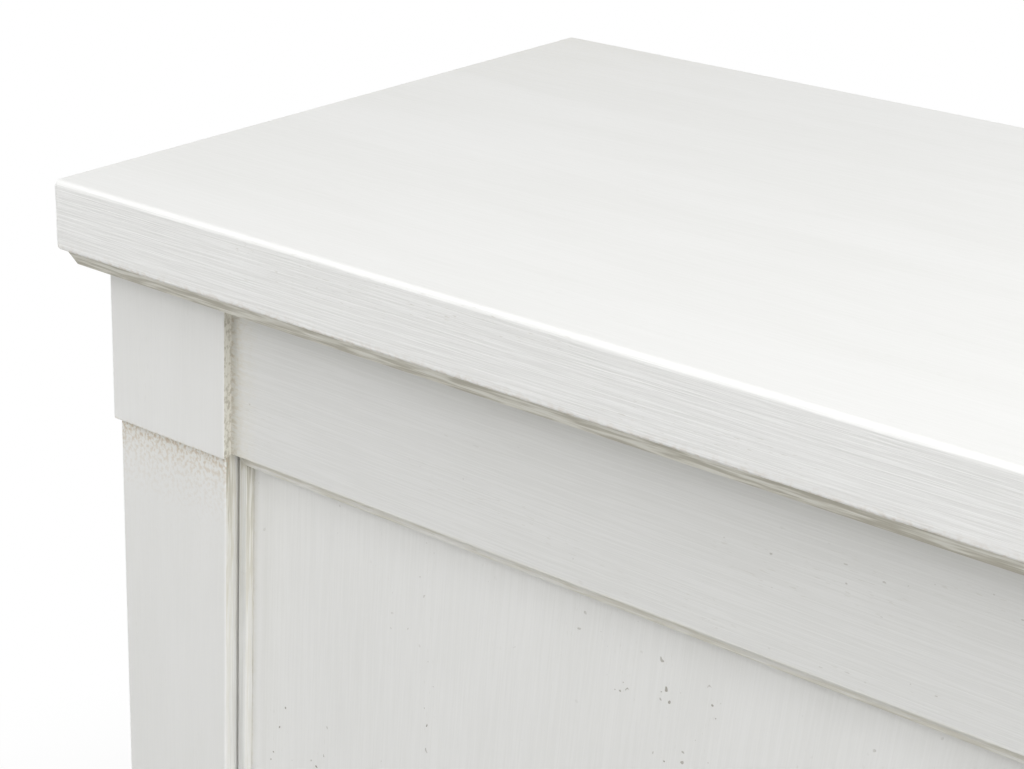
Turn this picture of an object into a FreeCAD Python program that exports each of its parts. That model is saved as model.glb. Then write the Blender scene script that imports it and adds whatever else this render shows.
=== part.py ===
"""Two-door armoire: a frame-and-panel carcass under a thick top, with inset doors on knife hinges.

The frame is +Z up, X to the right, and the doors face -Y. The origin is on the floor, under the
middle of the top. All sizes are in millimetres. A "setback" is a distance in from the edge of the
top; the front and the two sides of the carcass share the same setbacks.
"""
import FreeCAD, Part
import os

os.makedirs("parts", exist_ok=True)

# ---- driving dimensions -------------------------------------------------------------------
overall_width = 1300.0
overall_depth = 600.0
overall_height = 2000.0

top_thickness = 43.0
top_upper_arris = 4.0        # radius of the rounded upper and corner edges of the top
top_lower_arris = 2.0

cornice_height = 10.0        # splayed strip between the carcass and the top
cornice_setback = 4.5        # its upper edge
cornice_splay = 4.7          # how much further in its lower edge is
cornice_width = 60.0

block_setback = 22.0         # face of the capital and base blocks
block_width = 90.0
block_thickness = 7.0
block_overlap = 1.0          # how far a block reaches past the rail beside it
pilaster_thickness = 4.0
pilaster_reveal = 1.0        # how much narrower the pilaster is than its blocks, at the opening
block_arris = 1.2
pilaster_arris = 1.5
back_setback = 10.0          # back of the carcass, in from the back of the top

frame_thickness = 25.0       # rails and stiles
frieze_height = 101.0
base_height = 112.0
rear_stile_width = 82.0

glide_height = 8.0           # the carcass stands this far off the floor
glide_radius = 16.0
glide_stem_radius = 4.0
glide_stem_length = 24.0
glide_arris = 1.5
foot_block_size = 60.0
foot_block_height = 40.0

groove_depth = 8.0
side_panel_thickness = 10.0
side_panel_recess = 12.5     # face of the side panel behind the side frame
bead_width = 6.0
bead_recess = 6.0            # face of the bead behind the frame
back_panel_thickness = 8.0
back_frame_thickness = 24.0
back_panel_recess = 8.0
back_top_rail_height = 90.0

floor_thickness = 18.0
cleat_size = 20.0
partition_thickness = 18.0
partition_setback = 60.0
shelf_thickness = 18.0
shelf_cover = 36.0           # how far a shelf reaches forward over the front stile
shelf_clearance = 1.0        # at each end
shelf_back_clearance = 6.0
hat_space_height = 357.0     # from the underside of the hat shelf to that of the top
shelf_spacing = 360.0        # underside to underside, counted up from the floor board
lower_shelves = 3            # on the right, under the shelf that is level with the hat shelf
pin_radius = 2.5
pin_length = 18.0
pin_depth = 8.0              # how deep a shelf pin sits in the wood
pin_front_inset = 21.0       # from the side panel's edge of the front stile
pin_back_inset = 27.0        # from the side panel's edge of the rear stile

batten_thickness = 18.0
batten_height = 85.0
rod_radius = 14.0
rod_drop = 55.0              # rod's centre below the hat shelf
rod_clearance = 0.3
socket_flange_radius = 25.0
socket_flange_thickness = 3.0
socket_cup_radius = 18.0
socket_cup_depth = 14.0

stop_thickness = 15.0
stop_cap_height = 34.0
stop_lip_height = 14.0
stop_end_clearance = 40.0    # the stop strip ends this far from each door's pivot

door_setback = 6.0           # door's edging behind the frame
door_side_gap = 2.0
door_top_gap = 2.0
door_bottom_gap = 3.0
meeting_gap = 2.0
edging_width = 6.0
edging_arris = 1.0
door_panel_recess = 6.5      # panel behind its edging
door_panel_thickness = 18.0
stop_gap = 0.5               # between a closed door and what stops it

pivot_inset = 5.0            # pivot's centre from the door's face and from its edge
pivot_radius = 2.0
pivot_clearance = 0.05
pivot_reach = 6.0            # how far the pin enters the rail past the frame's plate
pivot_bore_clearance = 0.5   # round the pin's end in the rail
pivot_bore_end = 1.0         # and past it
plate_half_width = 4.0
plate_length = 60.0
leaf_plate_reach = 12.0      # how far the door's plate reaches behind the pivot
leaf_screw_offset = 7.0      # its screws behind the pivot, over the panel's wood
plate_screw_shares = (0.4, 0.8)    # places along a plate
plate_thickness = 2.5
bush_radius = 3.5
bush_gap = 0.3               # between the bush and the door's plate

knob_inset = 55.0            # from the door's free edge
knob_height = 985.0
knob_base_radius = 14.0
knob_neck_radius = 6.0
knob_head_radius = 15.0
knob_length = 34.0
knob_crown = 2.2             # height of the domed crown above its rim
knob_rim_inset = 4.0         # the rim, in from the head's widest line
knob_bore_depth = 18.0

catch_width = 14.0
catch_depth = 16.0
catch_height = 46.0
catch_drop = 25.0            # from the door's top edge to the catch
catch_screw_length = catch_width + 8.0
catch_screw_shares = (0.2, 0.8)    # places down a catch
strike_thickness = 1.0
strike_margin = 3.0          # how much shorter than the catch a strike is at each end
strike_side_margin = 1.0
strike_screw_inset = 8.0     # from each end of a strike

screw_radius = 1.5
screw_head_radius = 3.0
screw_head_height = 1.6
screw_length = 15.0
screw_clearance = 0.05
bolt_radius = 2.0
bolt_head_radius = 4.5
bolt_head_height = 2.2
bolt_end_clearance = 2.0

# ---- planes and levels worked out from them ----------------------------------------------
half_width = overall_width / 2
top_front = -overall_depth / 2
top_back = overall_depth / 2
frame_setback = block_setback + block_thickness
stile_inner = block_setback + block_width - pilaster_reveal     # setback of the opening's edge
pilaster_setback = frame_setback - pilaster_thickness
frame_back = frame_setback + frame_thickness                    # setback of the frame's inner face

frame_front_y = top_front + frame_setback
frame_back_y = top_front + frame_back
carcass_back_y = top_back - back_setback
back_frame_y = carcass_back_y - back_frame_thickness
partition_y = top_front + partition_setback
opening_edge_y = top_front + stile_inner                        # front edge of a side panel's opening
rear_edge_y = carcass_back_y - rear_stile_width                 # and its rear edge
shelf_y = opening_edge_y - shelf_cover
pin_front_y = opening_edge_y - pin_front_inset
pin_back_y = rear_edge_y + pin_back_inset
shelf_back_y = back_frame_y - shelf_back_clearance
side_inner_x = half_width - frame_back

top_z = overall_height - top_thickness
carcass_top_z = top_z - cornice_height
frieze_z = carcass_top_z - frieze_height
carcass_z = glide_height
floor_z = carcass_z + base_height                               # top of the base rail and the floor
hat_shelf_z = top_z - hat_space_height
rod_z = hat_shelf_z - rod_drop
rod_y = (partition_y + back_frame_y) / 2

door_front_y = frame_front_y + door_setback
door_panel_y = door_front_y + door_panel_recess
door_back_y = door_panel_y + door_panel_thickness
door_bottom_z = floor_z + door_bottom_gap
door_top_z = frieze_z - door_top_gap
door_hinge_x = -half_width + stile_inner + door_side_gap
door_free_x = -meeting_gap / 2
pivot_x = door_hinge_x + pivot_inset
pivot_y = door_front_y + pivot_inset

UP = FreeCAD.Vector(0, 0, 1)
DOWN = FreeCAD.Vector(0, 0, -1)
BACK = FreeCAD.Vector(0, 1, 0)
FRONT = FreeCAD.Vector(0, -1, 0)
RIGHT = FreeCAD.Vector(1, 0, 0)
LEFT = FreeCAD.Vector(-1, 0, 0)
ORIGIN = FreeCAD.Vector(0, 0, 0)
SAME_PLACE = 0.01            # two points closer than this are one
FLAT = 1e-6


# ---- helpers ---------------------------------------------------------------------------------
def board(x_span, y_span, z_span):
    """A board between two planes each way."""
    size = [span[1] - span[0] for span in (x_span, y_span, z_span)]
    return Part.makeBox(*size, FreeCAD.Vector(x_span[0], y_span[0], z_span[0]))


def prism(plan, z_span):
    """A plan outline carried from one level to another."""
    points = [FreeCAD.Vector(x, y, z_span[0]) for x, y in plan]
    face = Part.Face(Part.makePolygon(points + points[:1]))
    return face.extrude(FreeCAD.Vector(0, 0, z_span[1] - z_span[0]))


def mirrored(shape):
    """The same piece on the other side of the armoire."""
    return shape.mirror(ORIGIN, RIGHT)


def vertical_edges(shape, spots):
    """The upright edges of a shape that stand at the given plan points."""
    found = []
    for edge in shape.Edges:
        box = edge.BoundBox
        middle = edge.CenterOfMass
        upright = box.ZLength > FLAT and box.XLength < FLAT and box.YLength < FLAT
        gaps = [max(abs(middle.x - x), abs(middle.y - y)) for x, y in spots]
        if upright and min(gaps) < SAME_PLACE:
            found.append(edge)
    return found


def level_edges(shape, z):
    """The straight level edges of a shape at one height."""
    level = [edge for edge in shape.Edges if edge.BoundBox.ZLength < FLAT]
    return [edge for edge in level if abs(edge.CenterOfMass.z - z) < SAME_PLACE]


def wrapped_plate(outer, inner, end, z_span):
    """An L-shaped plate round the front left corner, between two setbacks."""
    x = -half_width
    y = top_front
    corner = [(outer, outer), (end, outer), (end, inner), (inner, inner), (inner, end), (outer, end)]
    return prism([(x + across, y + back) for across, back in corner], z_span)


def ring_of_strips(x_span, z_span, width, y_span):
    """Four mitred strips round an upright rectangle."""
    x0, x1 = x_span
    z0, z1 = z_span
    outer = ((x0, z0), (x1, z0), (x1, z1), (x0, z1))
    inwards = ((width, width), (-width, width), (-width, -width), (width, -width))
    inner = [(x + across, z + up) for (x, z), (across, up) in zip(outer, inwards)]
    strips = []
    for side in range(4):
        after = (side + 1) % 4
        outline = [outer[side], outer[after], inner[after], inner[side]]
        points = [FreeCAD.Vector(x, y_span[0], z) for x, z in outline]
        face = Part.Face(Part.makePolygon(points + points[:1]))
        strips.append(face.extrude(FreeCAD.Vector(0, y_span[1] - y_span[0], 0)))
    return strips


def screw(seat, direction, length=screw_length, extra=0.0):
    """A countersunk wood screw whose head lies flush at the seat; extra makes the hole for it."""
    head = Part.makeCone(screw_head_radius + extra, screw_radius + extra, screw_head_height, seat, direction)
    shank = Part.makeCylinder(screw_radius + extra, length + extra, seat, direction)
    return head.fuse(shank)


def cut_for_screws(shape, seats, direction, length=screw_length):
    """The shape with a clearance hole for each screw."""
    for seat in seats:
        shape = shape.cut(screw(seat, direction, length, screw_clearance))
    return shape


def export(shape, name):
    """Write one sub-part."""
    shape.exportStep("parts/%s.step" % name)
    print("%-24s %d solid(s)" % (name, len(shape.Solids)))


def export_pair(shape, name):
    """Write a piece and its mirror image as the left and the right one."""
    export(shape, name + "_left")
    export(mirrored(shape), name + "_right")


# ---- top and cornice ----------------------------------------------------------------------
def make_top():
    """The thick top with rounded arrises."""
    slab = board((-half_width, half_width), (top_front, top_back), (top_z, overall_height))
    corners = [(x, y) for x in (-half_width, half_width) for y in (top_front, top_back)]
    upper_edges = vertical_edges(slab, corners) + level_edges(slab, overall_height)
    slab = slab.makeFillet(top_upper_arris, upper_edges)
    return slab.makeFillet(top_lower_arris, level_edges(slab, top_z))


def cornice_section(length):
    """The splayed section, as (setback, level) points, carried along X by the length."""
    levels = [
        (cornice_setback, top_z),
        (cornice_setback + cornice_splay, carcass_top_z),
        (cornice_setback + cornice_width, carcass_top_z),
        (cornice_setback + cornice_width, top_z),
    ]
    points = [FreeCAD.Vector(-length / 2, setback, z) for setback, z in levels]
    return Part.Face(Part.makePolygon(points + points[:1])).extrude(FreeCAD.Vector(length, 0, 0))


def make_cornice():
    """Front, left and back strips; the front corners are mitred."""
    reach = cornice_setback + cornice_width
    front_plan = [
        (-half_width, top_front),
        (half_width, top_front),
        (half_width - reach, top_front + reach),
        (-half_width + reach, top_front + reach),
    ]
    front = cornice_section(overall_width)
    front.translate(FreeCAD.Vector(0, top_front, 0))
    front = front.common(prism(front_plan, (carcass_top_z, top_z)))
    left_plan = [
        (-half_width, top_front),
        (-half_width + reach, top_front + reach),
        (-half_width + reach, carcass_back_y),
        (-half_width, carcass_back_y),
    ]
    left = cornice_section(2 * overall_depth)
    left.rotate(ORIGIN, UP, -90)
    left.translate(FreeCAD.Vector(-half_width, 0, 0))
    left = left.common(prism(left_plan, (carcass_top_z, top_z)))
    back_span = (carcass_back_y - cornice_width, carcass_back_y)
    back = board((-half_width + reach, half_width - reach), back_span, (carcass_top_z, top_z))
    return front, left, back


# ---- hinge plates, which their pockets are cut from ---------------------------------------
def hinge_plate(z_span, reach=plate_half_width):
    """A knife-hinge leaf: a bar with a round end about the pivot, reaching some way behind it."""
    centre = FreeCAD.Vector(pivot_x, pivot_y, z_span[0])
    end = Part.makeCylinder(plate_half_width, z_span[1] - z_span[0], centre)
    y_span = (pivot_y - plate_half_width, pivot_y + reach)
    return end.fuse(board((pivot_x, pivot_x + plate_length), y_span, z_span)).removeSplitter()


def plate_screw_seats(z, offset=0.0):
    """Where the two screws of a hinge plate sit, some way behind the pivot."""
    places = [pivot_x + plate_length * share for share in plate_screw_shares]
    return [FreeCAD.Vector(x, pivot_y + offset, z) for x in places]


def make_frame_plate(at_top):
    """The plate let into the frame, with its bush, and the pocket and bore that it needs."""
    gap = door_top_gap if at_top else door_bottom_gap
    face_z = frieze_z if at_top else floor_z
    into = 1 if at_top else -1
    z_span = sorted((face_z, face_z + into * plate_thickness))
    pocket = hinge_plate(z_span)
    direction = UP if at_top else DOWN
    centre = FreeCAD.Vector(pivot_x, pivot_y, face_z)
    bush = Part.makeCylinder(bush_radius, gap - bush_gap, centre, direction * -1)
    hole_start = centre - direction * gap
    hole = Part.makeCylinder(pivot_radius + pivot_clearance, gap + plate_thickness, hole_start, direction)
    plate = pocket.fuse(bush).cut(hole)
    seats = plate_screw_seats(face_z)
    plate = cut_for_screws(plate, seats, direction)
    bore_depth = plate_thickness + pivot_reach + pivot_bore_end
    bore = Part.makeCylinder(pivot_radius + pivot_bore_clearance, bore_depth, centre, direction)
    screws = [screw(seat, direction) for seat in seats]
    return plate, pocket, bore, screws, seats, direction


def make_door_plate(at_top):
    """The plate let into the door's edge, with the fixed pivot pin."""
    edge_z = door_top_z if at_top else door_bottom_z
    gap = door_top_gap if at_top else door_bottom_gap
    out = 1 if at_top else -1
    z_span = sorted((edge_z, edge_z - out * plate_thickness))
    pocket = hinge_plate(z_span, leaf_plate_reach)
    direction = UP if at_top else DOWN
    start = FreeCAD.Vector(pivot_x, pivot_y, z_span[0] if at_top else z_span[1])
    pivot_length = 2 * plate_thickness + gap + pivot_reach
    pin = Part.makeCylinder(pivot_radius, pivot_length, start, direction)
    seats = plate_screw_seats(edge_z, leaf_screw_offset)
    plate = cut_for_screws(pocket.fuse(pin), seats, direction * -1)
    screws = [screw(seat, direction * -1) for seat in seats]
    return plate, pocket, screws, seats, direction * -1


# ---- front frame, pilasters and blocks ---------------------------------------------------
def make_front_frame():
    """The two rails between the stiles, and the left stile."""
    x_span = (-half_width + stile_inner, half_width - stile_inner)
    y_span = (frame_front_y, frame_back_y)
    frieze = board(x_span, y_span, (frieze_z, carcass_top_z))
    base = board(x_span, y_span, (carcass_z, floor_z))
    plates = []
    screws = []
    for at_top in (True, False):
        plate, pocket, bore, plate_screws, seats, direction = make_frame_plate(at_top)
        cutter = pocket.fuse(bore)
        rail = frieze if at_top else base
        for tool in (cutter, mirrored(cutter)):
            rail = rail.cut(tool)
        rail = cut_for_screws(rail, seats, direction)
        rail = mirrored(cut_for_screws(mirrored(rail), seats, direction))
        if at_top:
            frieze = rail
        else:
            base = rail
        plates += [plate, mirrored(plate)]
        screws += plate_screws + [mirrored(one) for one in plate_screws]
    stile_span = (-half_width + frame_setback, -half_width + stile_inner)
    stile = board(stile_span, y_span, (carcass_z, carcass_top_z))
    return frieze, base, stile, plates, screws


def make_corner_dress():
    """The pilaster, capital and base block that wrap the front left corner."""
    x0 = -half_width
    y0 = top_front
    block_end = block_setback + block_width
    capital_z = (frieze_z - block_overlap, carcass_top_z)
    base_z = (carcass_z, floor_z + block_overlap)
    pilaster = wrapped_plate(pilaster_setback, frame_setback, stile_inner, (base_z[1], capital_z[0]))
    spots = [(x0 + pilaster_setback, y0 + pilaster_setback), (x0 + stile_inner, y0 + pilaster_setback)]
    pilaster = pilaster.makeFillet(pilaster_arris, vertical_edges(pilaster, spots))
    blocks = []
    for z_span in (capital_z, base_z):
        block = wrapped_plate(block_setback, frame_setback, block_end, z_span)
        spots = [(x0 + block_setback, y0 + block_setback), (x0 + block_end, y0 + block_setback)]
        blocks.append(block.makeFillet(block_arris, vertical_edges(block, spots)))
    return pilaster, blocks[0], blocks[1]


# ---- sides and back -----------------------------------------------------------------------
def make_side():
    """The left side: two stiles, two rails, a grooved-in panel and a bead in front of it."""
    x_span = (-half_width + frame_setback, -half_width + frame_back)
    opening_y = (opening_edge_y, rear_edge_y)
    front_stile = board(x_span, (frame_back_y, opening_y[0]), (carcass_z, carcass_top_z))
    rear_stile = board(x_span, (rear_edge_y, carcass_back_y), (carcass_z, carcass_top_z))
    top_rail = board(x_span, opening_y, (frieze_z, carcass_top_z))
    bottom_rail = board(x_span, opening_y, (carcass_z, floor_z))
    panel_x = x_span[0] + side_panel_recess
    panel = board(
        (panel_x, panel_x + side_panel_thickness),
        (opening_y[0] - groove_depth, opening_y[1] + groove_depth),
        (floor_z - groove_depth, frieze_z + groove_depth),
    )
    frame = [piece.cut(panel) for piece in (front_stile, rear_stile, top_rail, bottom_rail)]
    bead_span = (0, side_panel_recess - bead_recess)
    bead = Part.Compound(ring_of_strips(opening_y, (floor_z, frieze_z), bead_width, bead_span))
    bead.rotate(ORIGIN, UP, 90)
    bead.translate(FreeCAD.Vector(panel_x, 0, 0))
    return frame, panel, bead


def make_back():
    """The back panel in its grooves, and the two rails that it runs into."""
    panel_y = carcass_back_y - back_panel_recess - back_panel_thickness
    panel = board(
        (-side_inner_x - groove_depth, side_inner_x + groove_depth),
        (panel_y, panel_y + back_panel_thickness),
        (floor_z - groove_depth, carcass_top_z - back_top_rail_height + groove_depth),
    )
    x_span = (-side_inner_x, side_inner_x)
    y_span = (back_frame_y, carcass_back_y)
    top_rail = board(x_span, y_span, (carcass_top_z - back_top_rail_height, carcass_top_z)).cut(panel)
    bottom_rail = board(x_span, y_span, (carcass_z, floor_z)).cut(panel)
    return panel, top_rail, bottom_rail


# ---- inside ----------------------------------------------------------------------------------
def make_floor():
    """The floor board on its four cleats, and the foot blocks with their glides."""
    inner_y = (frame_back_y, back_frame_y)
    underside = floor_z - floor_thickness
    floor = board((-side_inner_x, side_inner_x), inner_y, (underside, floor_z))
    cleat_z = (underside - cleat_size, underside)
    side_cleat = board((-side_inner_x, -side_inner_x + cleat_size), inner_y, cleat_z)
    cross_x = (-side_inner_x + cleat_size, side_inner_x - cleat_size)
    front_cleat = board(cross_x, (inner_y[0], inner_y[0] + cleat_size), cleat_z)
    back_cleat = board(cross_x, (inner_y[1] - cleat_size, inner_y[1]), cleat_z)
    cleats = [side_cleat, mirrored(side_cleat), front_cleat, back_cleat]
    blocks = []
    glides = []
    for y_span in ((inner_y[0], inner_y[0] + foot_block_size), (inner_y[1] - foot_block_size, inner_y[1])):
        x_span = (-side_inner_x, -side_inner_x + foot_block_size)
        block = board(x_span, y_span, (carcass_z, carcass_z + foot_block_height))
        centre = FreeCAD.Vector(sum(x_span) / 2, sum(y_span) / 2, 0)
        disc = Part.makeCylinder(glide_radius, glide_height, centre)
        disc = disc.makeFillet(glide_arris, level_edges(disc, 0.0))
        glide = disc.fuse(Part.makeCylinder(glide_stem_radius, glide_height + glide_stem_length, centre))
        hole_height = glide_height + glide_stem_length + screw_clearance
        block = block.cut(Part.makeCylinder(glide_stem_radius + screw_clearance, hole_height, centre))
        blocks += [block, mirrored(block)]
        glides += [glide, mirrored(glide)]
    return floor, cleats, blocks, glides


def make_shelves():
    """The shelves of the right-hand side, and the pins that carry them."""
    half = partition_thickness / 2
    x_span = (half + shelf_clearance, side_inner_x - shelf_clearance)
    shelves = []
    pins = []
    undersides = [floor_z + shelf_spacing * number for number in range(1, lower_shelves + 1)]
    for underside in undersides + [hat_shelf_z]:
        z_span = (underside, underside + shelf_thickness)
        shelves.append(board(x_span, (shelf_y, shelf_back_y), z_span))
        for y in (pin_front_y, pin_back_y):
            z = underside - pin_radius
            inner_seat = FreeCAD.Vector(half - pin_depth, y, z)
            outer_seat = FreeCAD.Vector(side_inner_x + pin_depth, y, z)
            pins.append(Part.makeCylinder(pin_radius, pin_length, inner_seat, RIGHT))
            pins.append(Part.makeCylinder(pin_radius, pin_length, outer_seat, LEFT))
    return shelves, pins


def make_hanging_space():
    """The hat shelf on its two battens, and the rod in its sockets."""
    half = partition_thickness / 2
    shelf_x = (-side_inner_x + shelf_clearance, -half - shelf_clearance)
    shelf = board(shelf_x, (shelf_y, shelf_back_y), (hat_shelf_z, hat_shelf_z + shelf_thickness))
    batten_z = (hat_shelf_z - batten_height, hat_shelf_z)
    batten_y = (shelf_y, back_frame_y)
    side_batten = board((-side_inner_x, -side_inner_x + batten_thickness), batten_y, batten_z)
    inner_batten = board((-half - batten_thickness, -half), batten_y, batten_z)
    rod_span = (-side_inner_x + batten_thickness, -half - batten_thickness)
    start = FreeCAD.Vector(rod_span[0] + socket_flange_thickness, rod_y, rod_z)
    rod_length = rod_span[1] - rod_span[0] - 2 * socket_flange_thickness
    rod = Part.makeCylinder(rod_radius, rod_length, start, RIGHT)
    sockets = []
    screws = []
    for x, direction in ((rod_span[0], RIGHT), (rod_span[1], LEFT)):
        centre = FreeCAD.Vector(x, rod_y, rod_z)
        flange = Part.makeCylinder(socket_flange_radius, socket_flange_thickness, centre, direction)
        cup = Part.makeCylinder(socket_cup_radius, socket_cup_depth, centre, direction)
        face = centre + direction * socket_flange_thickness
        mouth = Part.makeCylinder(rod_radius + rod_clearance, socket_cup_depth, face, direction)
        reach = (socket_cup_radius + socket_flange_radius) / 2
        seats = [face + BACK * reach, face + FRONT * reach]
        socket = flange.fuse(cup).cut(mouth)
        sockets.append(cut_for_screws(socket, seats, direction * -1))
        screws += [screw(seat, direction * -1) for seat in seats]
        if direction == RIGHT:
            side_batten = cut_for_screws(side_batten, seats, LEFT)
        else:
            inner_batten = cut_for_screws(inner_batten, seats, RIGHT)
    return shelf, side_batten, inner_batten, rod, sockets, screws


def make_door_stop():
    """A strip behind the frieze rail whose lip hangs down behind both doors."""
    reach = half_width - stile_inner - door_side_gap - pivot_inset - stop_end_clearance
    lip_y = (partition_y, partition_y + stop_thickness)
    gap_to_partition = partition_thickness / 2
    x_span = (-reach, -gap_to_partition)
    cap = board(x_span, (frame_back_y, lip_y[1]), (frieze_z, frieze_z + stop_cap_height))
    lip = board(x_span, lip_y, (frieze_z - stop_lip_height, frieze_z))
    half_stop = cap.fuse(lip).removeSplitter()
    return half_stop, mirrored(half_stop)


def make_catches():
    """A magnetic catch each side of the partition, with its two screws."""
    half = partition_thickness / 2
    front = partition_y + strike_thickness
    top = door_top_z - catch_drop
    outer_x = -half - catch_width
    body = board((outer_x, -half), (front, front + catch_depth), (top - catch_height, top))
    levels = [top - catch_height * share for share in catch_screw_shares]
    seats = [FreeCAD.Vector(outer_x, front + catch_depth / 2, z) for z in levels]
    body = cut_for_screws(body, seats, RIGHT, catch_screw_length)
    screws = [screw(seat, RIGHT, catch_screw_length) for seat in seats]
    return body, screws, seats


# ---- doors ------------------------------------------------------------------------------------
def knob_solid(centre):
    """A turned knob on a round base, standing out of the door towards the front."""
    def spot(radius, out):
        """A point of the outline: its radius, and how far out of the door it lies."""
        return FreeCAD.Vector(radius, -out, 0)

    base_edge = knob_base_radius
    neck = knob_neck_radius
    head = knob_head_radius
    length = knob_length
    crown = knob_crown
    rim = head - knob_rim_inset
    crown_radius = (rim ** 2 + crown ** 2) / (2 * crown)
    half_rim_drop = crown_radius - (crown_radius ** 2 - (rim / 2) ** 2) ** 0.5
    edges = [
        Part.LineSegment(spot(0, 0), spot(base_edge, 0)),
        Part.Arc(spot(base_edge, 0), spot(base_edge - 0.6, 2.2), spot(neck + 3, 3.4)),
        Part.Arc(spot(neck + 3, 3.4), spot(neck + 0.4, 6.5), spot(neck, 11)),
        Part.Arc(spot(neck, 11), spot(neck + 2.2, 15.2), spot(head - 3, 18.5)),
        Part.Arc(spot(head - 3, 18.5), spot(head, 24.5), spot(rim, length - crown)),
        Part.Arc(spot(rim, length - crown), spot(rim / 2, length - half_rim_drop), spot(0, length)),
        Part.LineSegment(spot(0, length), spot(0, 0)),
    ]
    wire = Part.Wire([edge.toShape() for edge in edges])
    knob = Part.Face(wire).revolve(ORIGIN, FreeCAD.Vector(0, 1, 0), 360)
    knob.translate(centre)
    bore = Part.makeCylinder(bolt_radius + screw_clearance, knob_bore_depth, centre, FRONT)
    return knob.cut(bore)


def make_door():
    """The left door: panel, mitred edging, hinge plates, strike, knob and screws."""
    x_span = (door_hinge_x, door_free_x)
    z_span = (door_bottom_z, door_top_z)
    panel = board(
        (x_span[0] + edging_width, x_span[1] - edging_width),
        (door_panel_y, door_back_y),
        (z_span[0] + edging_width, z_span[1] - edging_width),
    )
    strips = ring_of_strips(x_span, z_span, edging_width, (door_front_y, door_back_y))
    softened = []
    for strip in strips:
        outer = []
        for edge in strip.Edges:
            middle = edge.CenterOfMass
            on_face = abs(middle.y - door_front_y) < SAME_PLACE
            on_x = min(abs(middle.x - x) for x in x_span) < SAME_PLACE
            on_z = min(abs(middle.z - z) for z in z_span) < SAME_PLACE
            if on_face and (on_x or on_z):
                outer.append(edge)
        softened.append(strip.makeFillet(edging_arris, outer))
    plates = []
    screws = []
    for at_top in (True, False):
        plate, pocket, plate_screws, seats, direction = make_door_plate(at_top)
        softened = [cut_for_screws(strip.cut(pocket), seats, direction) for strip in softened]
        panel = cut_for_screws(panel, seats, direction)
        plates.append(plate)
        screws += plate_screws
    strike_x = -partition_thickness / 2 - catch_width
    catch_top = door_top_z - catch_drop
    strike_z = (catch_top - catch_height + strike_margin, catch_top - strike_margin)
    strike_back_y = door_back_y + strike_thickness
    strike_span = (strike_x, strike_x + catch_width - strike_side_margin)
    strike = board(strike_span, (door_back_y, strike_back_y), strike_z)
    levels = (strike_z[0] + strike_screw_inset, strike_z[1] - strike_screw_inset)
    strike_seats = [FreeCAD.Vector(strike_x + catch_width / 2, strike_back_y, z) for z in levels]
    strike = cut_for_screws(strike, strike_seats, FRONT)
    panel = cut_for_screws(panel, strike_seats, FRONT)
    screws += [screw(seat, FRONT) for seat in strike_seats]
    knob_spot = FreeCAD.Vector(door_free_x - knob_inset, door_panel_y, knob_height)
    bolt_start = knob_spot + BACK * door_panel_thickness
    head = Part.makeCylinder(bolt_head_radius, bolt_head_height, bolt_start, BACK)
    bolt_length = door_panel_thickness + knob_bore_depth - bolt_end_clearance
    bolt = head.fuse(Part.makeCylinder(bolt_radius, bolt_length, bolt_start, FRONT))
    hole_radius = bolt_radius + screw_clearance
    panel = panel.cut(Part.makeCylinder(hole_radius, door_panel_thickness, knob_spot, BACK))
    return panel, softened, plates, strike, knob_solid(knob_spot), screws + [bolt]


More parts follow.
